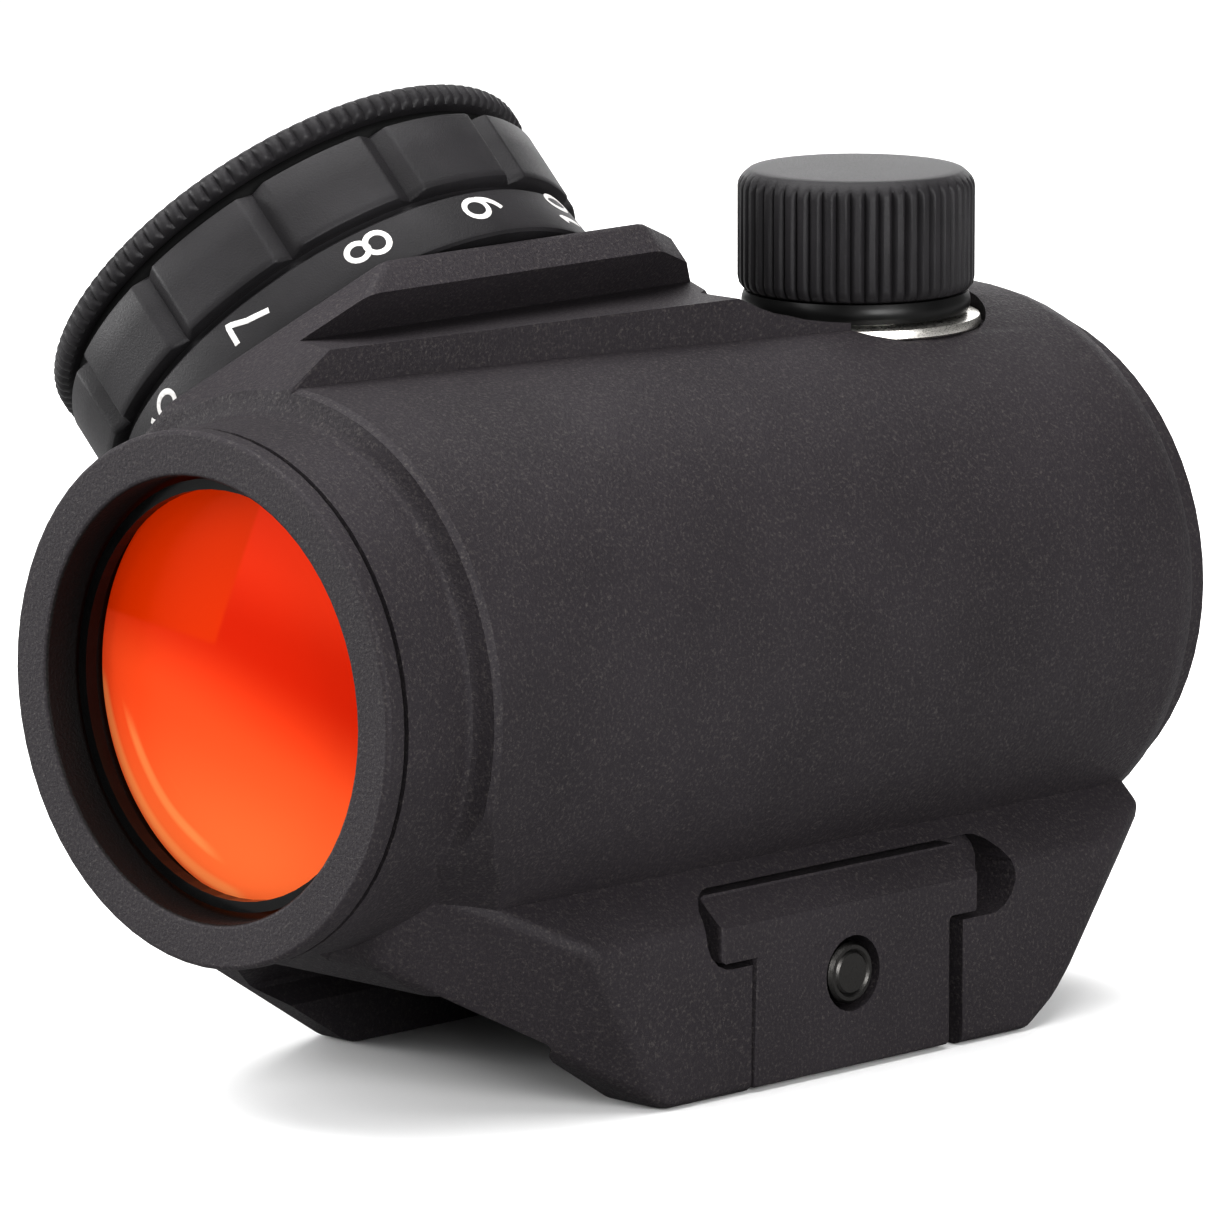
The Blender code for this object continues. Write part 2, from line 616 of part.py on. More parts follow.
def dial_insides():
    """Spindle and its ring, contacts, switch board, detent and coin cell."""
    spindle = [(0, 20.3), (2.9, 20.3), (2.9, 19.95), (2.0, 19.95), (2.0, 19.25), (2.9, 19.25),
               (SPINDLE_R, 14.0), (0, 14.0)]
    finish(turned(spindle, DIAL_FRAME, SMALL_STEPS), "dial_spindle", "steel")
    finish(ring(4.2, 2.3, 19.35, 19.85, DIAL_FRAME, SMALL_STEPS), "dial_retaining_ring", "steel")
    finish(ring(10.8, 3.6, 16.8, 17.3, DIAL_FRAME, 32), "contact_wiper", "brass")
    finish(ring(11.2, 3.6, 14.7, 15.5, DIAL_FRAME, 32), "switch_board", "board")
    ball = [(0, 16.35), (0.45, 16.2), (DETENT_R, 15.9), (0.45, 15.5), (0, 15.3)]
    finish(turned(ball, detent_frame(), 16), "detent_ball", "steel")
    finish(ring(0.55, 0.25, 14.1, 15.2, detent_frame(), 16), "detent_spring", "steel")
    finish(ring(8.0, 4.5, 20.15, 20.45, DIAL_FRAME, 32), "battery_contact", "brass")
    cell_top = COIN_BOTTOM_H + COIN_THICKNESS
    cell = [(0, cell_top), (COIN_R - 0.4, cell_top), (COIN_R, cell_top - 0.35),
            (COIN_R, COIN_BOTTOM_H + 0.35), (COIN_R - 0.6, COIN_BOTTOM_H), (0, COIN_BOTTOM_H)]
    finish(turned(cell, DIAL_FRAME, 40), "coin_cell", "steel")


def battery_cover():
    """Knurled cover with a threaded plug, and the black ring under its rim."""
    profile = [(0, COVER_TOP_H), (DIAL_R - 0.5, COVER_TOP_H), (DIAL_R, COVER_TOP_H - 0.4),
               (DIAL_R, COVER_BOTTOM_H + 0.25), (DIAL_R - 0.3, COVER_BOTTOM_H),
               (PLUG_R, COVER_BOTTOM_H), (PLUG_R, 23.3), (11.2, 23.3), (11.2, 24.3), (0, 24.3)]
    cover = turned(profile, DIAL_FRAME)
    slot = [(-7.0, -0.9), (7.0, -0.9), (7.0, 0.9), (-7.0, 0.9)]
    cut(cover, plate(slot, COVER_TOP_H - 0.8, COVER_TOP_H + 1, DIAL_FRAME))
    finish(cover, "battery_cap", "cap_black")
    seal = ring(13.6, PLUG_R + 0.35, 24.7, 24.95, DIAL_FRAME)
    finish(seal, "battery_cap_seal", "rubber")


main_body()
clamp_plate()
clamp_screw()
clamp_washer()
bezel("front_bezel_ring", False)
bezel("rear_bezel_ring", True)
lenses()
inner_optics()
turret("elevation", ELEVATION_FRAME)
turret("windage", WINDAGE_FRAME)
dial()
dial_insides()
battery_cover()
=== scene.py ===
"""Looks of the compact tube red dot sight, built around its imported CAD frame.

Sizes in the pieces below are millimetres in tube coordinates: x to the clamp side, y back
from the front face, z up from the optical axis. world_point turns them into the frame's metres.
"""
import json
import math

import bmesh
import bpy
from mathutils import Matrix, Vector


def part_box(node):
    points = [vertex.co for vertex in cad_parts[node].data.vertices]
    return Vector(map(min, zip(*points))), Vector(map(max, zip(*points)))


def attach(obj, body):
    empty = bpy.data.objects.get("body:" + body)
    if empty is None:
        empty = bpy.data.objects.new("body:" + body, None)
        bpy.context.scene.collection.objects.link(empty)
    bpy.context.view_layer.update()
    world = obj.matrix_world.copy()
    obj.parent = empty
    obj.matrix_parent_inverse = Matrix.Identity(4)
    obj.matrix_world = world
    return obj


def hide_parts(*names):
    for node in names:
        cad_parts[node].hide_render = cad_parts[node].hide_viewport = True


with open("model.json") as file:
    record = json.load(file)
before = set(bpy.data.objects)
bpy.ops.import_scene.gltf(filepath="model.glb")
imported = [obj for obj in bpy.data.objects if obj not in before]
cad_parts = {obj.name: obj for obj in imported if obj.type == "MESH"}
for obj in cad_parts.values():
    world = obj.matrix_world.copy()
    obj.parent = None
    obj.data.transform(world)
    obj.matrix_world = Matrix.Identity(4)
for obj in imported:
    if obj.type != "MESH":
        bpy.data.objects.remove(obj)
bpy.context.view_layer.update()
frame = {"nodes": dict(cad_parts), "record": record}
NODES = frame["nodes"]

MM = 0.001
LENGTH = 62.0
SEAT_Z = -15.8
OPENING_R = 11.64
ROUND_STEPS = 160

# front lens
LENS_R = 11.3
LENS_FACE_R = 11.0
LENS_RIM_Y = 3.5
LENS_HOLLOW = 0.35
LENS_RINGS = 14

# edges
SHARP_ANGLE = math.radians(35)
ROUNDED_ANGLE = math.radians(28)
BODY_EDGE = 0.14
FINE_EDGE = 0.08
WELD_REACH = 0.002

# turrets, heights out from the optical axis
TURRET_Y = 49.05
CAP_TOP_H = 22.75
CAP_BOTTOM_H = 16.2
CAP_R = 6.44
CAP_ROOF = 1.6
CAP_RIDGES = 51
CAP_STEPS_PER_RIDGE = 10
CAP_RIDGE_DEPTH = 0.3
SEAT_BORE_R = 3.9
SEAT_THREAD_R = 5.0
SEAT_PITCH = 0.5

# brightness dial, heights out along its leaning axis
DIAL_Y = 24.2
DIAL_STEPS = 720
DIAL_R = 14.4
DIAL_TOP_H = 24.4
DIAL_BOTTOM_H = 16.45
DIAL_PHASE = math.radians(2.5)
GRIP_COUNT = 12
GRIP_HALF_ANGLE = math.radians(3.3)
GRIP_DEPTH = 0.62
BAND_TOP_H = 19.6
BAND_EDGE_H = BAND_TOP_H - 0.24
BAND_EDGE_R = 14.0
BAND_FOOT_H = 16.75
BAND_FOOT_R = 14.28

# battery cover
COVER_TOP_H = 26.7
COVER_BOTTOM_H = 25.25
COVER_RIDGES = 110
COVER_STEPS_PER_RIDGE = 8
COVER_RIDGE_DEPTH = 0.25
SLOT_HALF_LENGTH = 6.1
SLOT_R = 0.9
SLOT_FLOOR_H = 25.9

# dial numbers
DIGIT_H = 18.3
DIGIT_HEIGHT = 2.4
DIGIT_WIDTH = 1.5
TWIN_DIGIT_SHARE = 0.72
TWIN_DIGIT_PITCH = 1.25
STROKE_R = 0.165
STROKE_LIFT = 0.012
STROKE_FLATTEN = 0.12
LONGEST_RUN = 0.1
CLOSED_GAP = 0.001

# clamp
PLATE_STEM_FRONT_Y = 26.85
PLATE_STEM_SHIFT = 0.2
PLATE_ARM_BOTTOM_Z = -15.9
SCREW_Y = 34.2
SCREW_Z = -17.45
SCREW_R = 1.7
SCREW_STEPS = 144
SCREW_END_X = 13.95
SCREW_PITCH = 0.7
SCREW_HEAD_R = 3.1
SCREW_HEAD_END_X = -15.0
SCREW_HEAD_RIDGES = 24
SCREW_RIDGE_DEPTH = 0.14
SOCKET_R = 1.4
SOCKET_FLOOR_X = -13.2

# stage: paper brightness as thrown back onto the object, distances in metres at which it fades
FLOOR_BOUNCE = (0.35, 0.35, 0.35)
FLOOR_FADE = (0.22, 0.5)
FLOOR_SIZE = 6.0
FLOOR_GAP = 0.00005
FILL_STRENGTH = 0.25
LIGHT_TARGET = (0, 0, 0.015)
LIGHTS = (
    ("overhead", (-0.1, -0.05, 0.8), (1.0, 1.0), 17.0),
    ("left_front", (-0.3, -0.8, 0.5), (0.55, 0.5), 5.3),
    ("left_low", (-0.75, -0.45, 0.12), (0.4, 0.25), 6.5),
    ("right_front", (0.8, -0.25, 0.22), (0.5, 0.4), 10.8),
    ("behind", (-0.6, 0.65, 0.25), (0.9, 0.45), 3.5),
)
VIEW_GAMMA = 0.84

CAMERA_LENS = 326.8
CAMERA_SENSOR = 36
CAMERA_POSITION = (0.40671, -0.41152, 0.12154)
CAMERA_BACK = (0.6927, -0.6989, 0.1783)
CAMERA_RIGHT = (0.7104, 0.7038, -0.0013)


def world_point(x, y, z):
    """Point in tube coordinates, as a point of the frame in metres."""
    return Vector((x, y - LENGTH / 2, z - SEAT_Z)) * MM


def frame_at(point, z_axis, x_hint):
    """Axes of a turned piece: its own Z along z_axis and its X as near x_hint as can be."""
    z_dir = Vector(z_axis).normalized()
    y_dir = z_dir.cross(Vector(x_hint)).normalized()
    x_dir = y_dir.cross(z_dir)
    matrix = Matrix((x_dir, y_dir, z_dir)).transposed().to_4x4()
    matrix.translation = world_point(*point)
    return matrix


AXIS_FRAME = frame_at((0, 0, 0), (0, 1, 0), (1, 0, 0))
DIAL_FRAME = frame_at((0, DIAL_Y, 0), (-1, 0, 1), (1, 0, 1))
ELEVATION_FRAME = frame_at((0, TURRET_Y, 0), (0, 0, 1), (1, 0, 0))
WINDAGE_FRAME = frame_at((0, TURRET_Y, 0), (-1, 0, 0), (0, 0, 1))
SCREW_FRAME = frame_at((0, SCREW_Y, SCREW_Z), (1, 0, 0), (0, 1, 0))


# ---------------------------------------------------------------- materials

class Nodes:
    """Small helper that adds nodes to one material and links them."""

    def __init__(self, name):
        self.material = bpy.data.materials.new(name)
        self.material.use_nodes = True
        self.tree = self.material.node_tree
        self.shader = self.tree.nodes["Principled BSDF"]
        coords = self.tree.nodes.new("ShaderNodeTexCoord")
        self.position = coords.outputs["Object"]

    def add(self, kind, inputs=(), **settings):
        """New node. inputs gives each socket a value or a link, and settings its properties."""
        node = self.tree.nodes.new(kind)
        for key, value in settings.items():
            setattr(node, key, value)
        for key, value in dict(inputs).items():
            if isinstance(value, bpy.types.NodeSocket):
                self.tree.links.new(value, node.inputs[key])
            else:
                node.inputs[key].default_value = value
        return node

    def noise(self, cells_per_mm, detail=2.0, roughness=0.5):
        """Noise from 0 to 1."""
        inputs = {"Vector": self.position, "Scale": cells_per_mm / MM, "Detail": detail,
                  "Roughness": roughness}
        return self.add("ShaderNodeTexNoise", inputs).outputs["Fac"]

    def ramp(self, value, stops):
        """Colour along a ramp whose stops are (position, colour)."""
        node = self.add("ShaderNodeValToRGB", {"Fac": value})
        elements = node.color_ramp.elements
        while len(elements) < len(stops):
            elements.new(0.5)
        for element, (position, color) in zip(elements, stops):
            element.position = position
            element.color = (*color, 1.0)
        return node.outputs["Color"]

    def grey_ramp(self, value, stops):
        return self.ramp(value, [(position, (grey,) * 3) for position, grey in stops])

    def mix(self, factor, first, second):
        """Colour between first and second."""
        node = self.add("ShaderNodeMix", data_type="RGBA")
        for socket, value in (("Factor", factor), ("A", first), ("B", second)):
            target = [s for s in node.inputs if s.name == socket and s.enabled][0]
            if isinstance(value, bpy.types.NodeSocket):
                self.tree.links.new(value, target)
            else:
                target.default_value = value
        return [s for s in node.outputs if s.enabled][0]

    def bump(self, height, depth_mm, strength=1.0):
        """Relief on the shader's normal."""
        inputs = {"Height": height, "Distance": depth_mm * MM, "Strength": strength}
        node = self.add("ShaderNodeBump", inputs)
        self.tree.links.new(node.outputs["Normal"], self.shader.inputs["Normal"])

    def set(self, **values):
        """Fill the shader's sockets by name, and return the finished material."""
        for key, value in values.items():
            socket = self.shader.inputs[key.replace("_", " ")]
            if isinstance(value, bpy.types.NodeSocket):
                self.tree.links.new(value, socket)
            elif isinstance(value, tuple):
                socket.default_value = (*value, 1.0)
            else:
                socket.default_value = value
        return self.material


def outside_bore(m):
    """0 inside the tube's bore and 1 outside it."""
    centred = m.add("ShaderNodeVectorMath", {0: m.position, 1: (0, 0, -SEAT_Z * MM)},
                    operation="SUBTRACT")
    flat = m.add("ShaderNodeVectorMath", {0: centred.outputs["Vector"], 1: (1, 0, 1)},
                 operation="MULTIPLY")
    radius = m.add("ShaderNodeVectorMath", {0: flat.outputs["Vector"]}, operation="LENGTH")
    limits = {"Value": radius.outputs["Value"], "From Min": (OPENING_R + 0.04) * MM,
              "From Max": (OPENING_R + 0.1) * MM}
    return m.add("ShaderNodeMapRange", limits).outputs["Result"]


def anodised_material():
    """Hard anodised, bead-blasted aluminium: near black with a fine pale grain. Inside the bore
    it is painted darker still, near pure black, which is painted shade."""
    m = Nodes("anodised_blasted")
    grain = m.noise(6.0, 3.0, 0.65)
    speck = m.noise(5.0, 4.0, 0.8)
    patch = m.noise(0.12, 2.0)
    base = m.ramp(patch, [(0.3, (0.0165, 0.0138, 0.0162)), (0.7, (0.0215, 0.0182, 0.0212))])
    specked = m.mix(m.grey_ramp(speck, [(0.52, 0.0), (0.7, 0.8)]), base,
                    (0.066, 0.059, 0.056, 1.0))
    m.bump(grain, 0.06, 1.0)
    # painted shade: near black on the bore's wall, in the recess behind the front ring
    painted_bore_shade = m.mix(outside_bore(m), (0.001, 0.001, 0.001, 1.0), specked)
    return m.set(Base_Color=painted_bore_shade, Roughness=m.grey_ramp(speck, [(0.35, 0.66), (0.7, 0.52)]),
                 Specular_IOR_Level=0.2)


def satin_material(name, color, roughness, grain_mm=0.01):
    """Dull dark finish with a very fine grain and slightly uneven shade."""
    m = Nodes(name)
    fine = m.noise(9.0, 3.0, 0.6)
    patch = m.noise(0.25, 2.0)
    dark = tuple(c * 0.85 for c in color)
    light = tuple(c * 1.2 for c in color)
    m.bump(fine, grain_mm, 0.8)
    return m.set(Base_Color=m.ramp(patch, [(0.35, dark), (0.65, light)]),
                 Roughness=m.grey_ramp(fine, [(0.3, roughness - 0.05), (0.7, roughness + 0.06)]),
                 Specular_IOR_Level=0.2)


def metal_material(name, color, roughness, stretch=(1, 1, 1)):
    """Turned or drawn metal with fine tool marks."""
    m = Nodes(name)
    mapping = m.add("ShaderNodeMapping", {"Vector": m.position, "Scale": stretch})
    marks = m.add("ShaderNodeTexNoise", {"Vector": mapping.outputs["Vector"],
                                         "Scale": 6.0 / MM, "Detail": 3.0}).outputs["Fac"]
    m.bump(marks, 0.006, 0.7)
    dark = tuple(c * 0.8 for c in color)
    return m.set(Base_Color=m.ramp(marks, [(0.3, dark), (0.7, color)]), Metallic=1.0,
                 Roughness=m.grey_ramp(marks, [(0.3, roughness - 0.06), (0.7, roughness + 0.08)]))


def gloss_material(name, color, roughness):
    """Smooth rubber or plastic with slightly uneven gloss."""
    m = Nodes(name)
    patch = m.noise(0.6, 2.0)
    light = tuple(c * 1.5 for c in color)
    return m.set(Base_Color=m.ramp(patch, [(0.3, color), (0.7, light)]),
                 Roughness=m.grey_ramp(patch, [(0.3, roughness), (0.7, roughness + 0.08)]),
                 Specular_IOR_Level=0.2)


def coating_material():
    """Orange-red mirror coating with painted reflections: pale at the bottom, deep across the
    middle and rose above, with an amber field at the upper left, painted highlight arcs near the
    lower edge and a faint painted glow."""
    m = Nodes("coated_glass_painted_reflection")
    axes = m.add("ShaderNodeSeparateXYZ", {"Vector": m.position})

    def field(x_share, z_share, start_mm, end_mm):
        """Grows from 0 to 1 between two distances along a direction across the lens."""
        x_part = m.add("ShaderNodeMath", {0: axes.outputs["X"], 1: x_share},
                       operation="MULTIPLY").outputs[0]
        height = m.add("ShaderNodeMath", {0: axes.outputs["Z"], 1: SEAT_Z * MM},
                       operation="ADD").outputs[0]
        z_part = m.add("ShaderNodeMath", {0: height, 1: z_share},
                       operation="MULTIPLY").outputs[0]
        along = m.add("ShaderNodeMath", {0: x_part, 1: z_part}, operation="ADD").outputs[0]
        node = m.add("ShaderNodeMapRange", {"Value": along, "From Min": start_mm * MM,
                                            "From Max": end_mm * MM},
                     interpolation_type="SMOOTHSTEP")
        return node.outputs["Result"]

    def both(first, second):
        """Share where two fields overlap."""
        return m.add("ShaderNodeMath", {0: first, 1: second}, operation="MULTIPLY").outputs[0]

    low = (0.97, 0.19, 0.05, 1.0)
    middle = (0.97, 0.098, 0.02, 1.0)
    deep = (0.66, 0.022, 0.0, 1.0)
    rose = (0.82, 0.046, 0.008, 1.0)
    amber = (0.72, 0.044, 0.0, 1.0)
    # painted reflections: these colour fields across the lens stand in for the studio mirrored in
    # the coating
    color = m.mix(field(0.1, 1.0, -10.0, -1.0), low, middle)
    color = m.mix(field(0.3, 1.0, -3.0, 2.6), color, deep)
    color = m.mix(field(0.2, 1.0, 3.2, 7.5), color, rose)
    upper = field(0.09, 1.0, 1.9, 2.3)
    left = field(-1.0, 0.42, 2.9, 3.3)
    color = m.mix(both(upper, left), color, amber)
    centre = m.add("ShaderNodeVectorMath", {0: m.position}, operation="SUBTRACT")
    centre.inputs[1].default_value = (0.7 * MM, 0, (0.9 - SEAT_Z) * MM)
    arcs = m.add("ShaderNodeTexWave", {"Vector": centre.outputs["Vector"], "Scale": 0.2 / MM,
                                       "Distortion": 0.35, "Detail": 1.0},
                 wave_type="RINGS", rings_direction="Y").outputs["Fac"]
    # painted highlight: bright arcs near the lower edge
    rim = both(field(-0.7, -0.71, 7.6, 8.6), m.grey_ramp(arcs, [(0.5, 0.0), (0.95, 0.7)]))
    color = m.mix(rim, color, (1.0, 0.34, 0.11, 1.0))
    share = m.mix(0.4, (0.0, 0.0, 0.0, 1.0), color)
    # painted glow: the emission keeps the lens bright though it is no lamp
    return m.set(Base_Color=share, Roughness=0.3, Specular_IOR_Level=0.02,
                 Emission_Color=color, Emission_Strength=0.5)


def clear_glass_material():
    """Eye side window: dark blue coated glass that mirrors a little."""
    m = Nodes("clear_coated_glass")
    rings = m.noise(0.3, 2.0)
    color = m.ramp(rings, [(0.3, (0.006, 0.022, 0.045)), (0.7, (0.012, 0.035, 0.07))])
    return m.set(Base_Color=color, Roughness=0.04, Coat_Weight=1.0, Coat_Roughness=0.02,
                 Specular_IOR_Level=0.7)


def paint_material():
    """White filling paint, a little mottled."""
    m = Nodes("digit_paint")
    patch = m.noise(6.0, 3.0)
    return m.set(Base_Color=m.ramp(patch, [(0.3, (0.42, 0.41, 0.4)), (0.7, (0.58, 0.57, 0.56))]),
                 Roughness=0.6)


def floor_material():
    """Pale paper. It throws less light back than it shows, and far off it turns plain white."""
    m = Nodes("floor")
    patch = m.noise(0.002, 2.0)
    paper = m.ramp(patch, [(0.3, (0.88, 0.88, 0.88)), (0.7, (0.9, 0.9, 0.9))])
    seen = m.add("ShaderNodeLightPath").outputs["Is Camera Ray"]
    m.set(Base_Color=m.mix(seen, (*FLOOR_BOUNCE, 1.0), paper), Roughness=0.9,
          Specular_IOR_Level=0.1)
    distance = m.add("ShaderNodeVectorMath", {0: m.position}, operation="LENGTH")
    far = m.add("ShaderNodeMapRange", {"Value": distance.outputs["Value"],
                                       "From Min": FLOOR_FADE[0], "From Max": FLOOR_FADE[1]},
                interpolation_type="SMOOTHSTEP").outputs["Result"]
    share = m.add("ShaderNodeMath", {0: far, 1: seen}, operation="MULTIPLY").outputs[0]
    white = m.add("ShaderNodeEmission", {"Strength": 1.0}).outputs["Emission"]
    blend = m.add("ShaderNodeMixShader", {"Fac": share, 1: m.shader.outputs["BSDF"], 2: white})
    output = m.tree.nodes["Material Output"]
    m.tree.links.new(blend.outputs["Shader"], output.inputs["Surface"])
    return m.material


MATERIALS = {
    "anodised": anodised_material(),
    "cap_black": satin_material("satin_black", (0.0155, 0.0145, 0.0158), 0.48, 0.025),
    "gloss_black": gloss_material("gloss_black_ring", (0.002, 0.002, 0.002), 0.16),
    "rubber": gloss_material("gasket_rubber", (0.004, 0.004, 0.004), 0.3),
    "matt_rubber": satin_material("matt_rubber", (0.002, 0.002, 0.002), 0.8),
    "bright_metal": metal_material("bare_turned_metal", (0.72, 0.7, 0.66), 0.3, (1, 1, 6)),
    "steel": metal_material("plain_steel", (0.36, 0.36, 0.37), 0.36, (1, 5, 1)),
    "dark_steel": metal_material("blackened_steel", (0.06, 0.058, 0.056), 0.32, (1, 5, 1)),
    "brass": metal_material("turned_brass", (0.74, 0.54, 0.22), 0.3, (1, 1, 6)),
    "lens_coating": coating_material(),
    "rear_glass": clear_glass_material(),
    "board": satin_material("green_board", (0.02, 0.16, 0.06), 0.45),
    "led_red": gloss_material("red_emitter", (0.7, 0.03, 0.02), 0.2),
    "paint": paint_material(),
}


def shade(obj):
    """Smooth shading with sharp edges kept."""
    obj.data.shade_smooth()
    obj.data.set_sharp_from_angle(angle=SHARP_ANGLE)


def dress(obj, material_name):
    """Give the object one material and no other."""
    obj.data.materials.clear()
    obj.data.materials.append(MATERIALS[material_name])
    return obj


# ---------------------------------------------------------------- mesh helpers

def add_mesh(name, shape, matrix):
    """Object from a bmesh, moved into the frame by matrix."""
    bmesh.ops.recalc_face_normals(shape, faces=shape.faces)
    mesh = bpy.data.meshes.new(name)
    shape.to_mesh(mesh)
    shape.free()
    mesh.transform(matrix)
    obj = bpy.data.objects.new(name, mesh)
    bpy.context.scene.collection.objects.link(obj)
    return obj


def lathe(name, rows, matrix, steps, relief=None, closed=False):
    """Solid turned about local Z from rows of (radius, height, share). relief(angle) is how far
    in the wall is cut at that angle, and share says how much of it a row takes."""
    shape = bmesh.new()
    loops = []
    for radius, height, share in rows:
        if radius == 0:
            loops.append([shape.verts.new((0, 0, height * MM))])
            continue
        loop = []
        for step in range(steps):
            angle = math.tau * step / steps
            cut = relief(angle) * share if relief and share else 0
            reach = (radius - cut) * MM
            loop.append(shape.verts.new((reach * math.cos(angle), reach * math.sin(angle),
                                         height * MM)))
        loops.append(loop)
    pairs = list(zip(loops, loops[1:]))
    if closed:
        pairs.append((loops[-1], loops[0]))
    for first, second in pairs:
        for step in range(steps):
            after = (step + 1) % steps
            ends = [first[step % len(first)], first[after % len(first)],
                    second[after % len(second)], second[step % len(second)]]
            corners = list(dict.fromkeys(ends))
            shape.faces.new(corners)
    return add_mesh(name, shape, matrix)


def ridges(count, depth, crest=0.45):
    """Knurl: rounded ridges with narrow valleys between them."""
    def relief(angle):
        phase = (angle * count / math.tau) % 1.0
        away = abs(2 * phase - 1)
        return depth * max(0.0, (away - crest) / (1 - crest)) ** 1.3
    return relief


def grips(angle):
    """V grooves midway between the dial's numbers."""
    pitch = math.tau / GRIP_COUNT
    offset = abs(((angle + DIAL_PHASE) % pitch) - pitch / 2)
    return GRIP_DEPTH * max(0.0, 1 - offset / GRIP_HALF_ANGLE)


def cut_with(obj, cutter):
    """Take the cutter out of the object, and remove the cutter."""
    modifier = obj.modifiers.new("cut", "BOOLEAN")
    modifier.operation = "DIFFERENCE"
    modifier.solver = "EXACT"
    modifier.object = cutter
    bpy.context.view_layer.update()
    evaluated = obj.evaluated_get(bpy.context.evaluated_depsgraph_get())
    mesh = bpy.data.meshes.new_from_object(evaluated)
    obj.modifiers.clear()
    obj.data = mesh
    bpy.data.objects.remove(cutter, do_unlink=True)
    return obj


def prism(outline, bottom, top, matrix):
    """Cutter with a flat outline, from one height to another."""
    shape = bmesh.new()
    low = [shape.verts.new((x * MM, y * MM, bottom * MM)) for x, y in outline]
    high = [shape.verts.new((x * MM, y * MM, top * MM)) for x, y in outline]
    shape.faces.new(low)
    shape.faces.new(high)
    for i in range(len(outline)):
        after = (i + 1) % len(outline)
        shape.faces.new((low[i], low[after], high[after], high[i]))
    return add_mesh("cutter", shape, matrix)


def stand_for(obj, node, body, slot, material_name=None):
    """Show obj in place of a CAD node, riding on the node's body."""
    dress(obj, material_name or slot)
    shade(obj)
    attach(obj, body)
    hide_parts(node)
    return obj


# ---------------------------------------------------------------- pieces

def turret_cap(name, matrix, body):
    """Cap with vertical ridges that run out into a conical top edge."""
    top = CAP_TOP_H
    rows = [(0, top, 0), (2.6, top, 0), (5.2, top, 0), (5.72, top - 0.02, 0),
            (5.86, top - 0.08, 0), (6.16, top - 0.34, 0), (6.3, top - 0.52, 0.35),
            (6.4, top - 0.72, 0.9), (CAP_R, top - 0.95, 1), (CAP_R, top - 3.2, 1),
            (CAP_R, CAP_BOTTOM_H + 0.7, 1), (6.36, CAP_BOTTOM_H + 0.35, 0.9),
            (6.15, CAP_BOTTOM_H + 0.08, 0.5), (5.95, CAP_BOTTOM_H, 0.1), (5.5, CAP_BOTTOM_H, 0),
            (5.5, top - CAP_ROOF, 0), (0, top - CAP_ROOF, 0)]
    cap = lathe(name + "_shell", rows, matrix, CAP_RIDGES * CAP_STEPS_PER_RIDGE,
                ridges(CAP_RIDGES, CAP_RIDGE_DEPTH))
    return stand_for(cap, name, body, "cap_black")


def dial_body():
    """Dial with a flared number band and twelve lands parted by V grooves."""
    top = DIAL_TOP_H
    step_h = BAND_TOP_H + 0.4
    rows = [(12.9, top, 0), (13.5, top, 0), (14.15, top, 0.9), (14.32, top - 0.06, 1),
            (DIAL_R, top - 0.2, 1), (DIAL_R, 22.5, 1), (DIAL_R, step_h + 0.5, 1),
            (DIAL_R, step_h + 0.22, 1), (14.34, step_h + 0.08, 1), (14.2, step_h, 0.9),
            (13.45, step_h - 0.03, 0), (13.45, BAND_TOP_H - 0.1, 0), (13.9, BAND_TOP_H - 0.14, 0),
            (BAND_EDGE_R, BAND_EDGE_H, 0), (BAND_FOOT_R, BAND_FOOT_H, 0), (14.25, 16.58, 0),
            (14.08, DIAL_BOTTOM_H, 0), (11.9, DIAL_BOTTOM_H, 0), (11.9, 17.6, 0), (3.3, 17.6, 0),
            (3.3, 18.9, 0), (10.6, 18.9, 0), (10.6, 22.9, 0), (12.9, 22.9, 0)]
    dial = lathe("dial_shell", rows, DIAL_FRAME, DIAL_STEPS, grips, closed=True)
    return stand_for(dial, "brightness_dial", "dial", "cap_black")


def band_radius(height):
    """Radius of the number band, which flares slightly towards the housing."""
    share = (BAND_EDGE_H - height) / (BAND_EDGE_H - BAND_FOOT_H)
    return BAND_EDGE_R + (BAND_FOOT_R - BAND_EDGE_R) * share


def arc(x, y, x_reach, y_reach, start, end, steps=14):
    """Points of an ellipse arc, its angles in degrees from the x axis."""
    angles = [math.radians(start + (end - start) * i / steps) for i in range(steps + 1)]
    return [(x + x_reach * math.cos(a), y + y_reach * math.sin(a)) for a in angles]


# strokes of each digit in a box 1 wide and 1 high, centred on the origin
DIGIT_STROKES = {
    "0": [arc(0, 0, 0.42, 0.5, 0, 360, 28)],
    "1": [[(-0.22, 0.28), (0.05, 0.5), (0.05, -0.5)]],
    "2": [arc(0, 0.24, 0.4, 0.26, 165, -40) + [(-0.42, -0.5), (0.44, -0.5)]],
    "3": [arc(-0.04, 0.25, 0.38, 0.25, 150, -80), arc(-0.04, -0.25, 0.43, 0.25, 85, -150)],
    "4": [[(0.2, -0.5), (0.2, 0.5), (-0.45, -0.2), (0.46, -0.2)]],
    "5": [[(0.38, 0.5), (-0.3, 0.5), (-0.36, 0.06)] + arc(-0.02, -0.17, 0.42, 0.33, 125, -145)],
    "6": [arc(0, -0.19, 0.41, 0.31, 0, 360, 24), arc(0.38, -0.08, 0.78, 0.62, 178, 108, 10)],
    "7": [[(-0.42, 0.5), (0.42, 0.5), (0.1, 0.05), (-0.1, -0.5)]],
    "8": [arc(0, 0.25, 0.35, 0.25, 0, 360, 20), arc(0, -0.24, 0.42, 0.27, 0, 360, 24)],
    "9": [arc(0, 0.19, 0.41, 0.31, 0, 360, 24), arc(-0.38, 0.08, 0.78, 0.62, -2, -72, 10)],
}


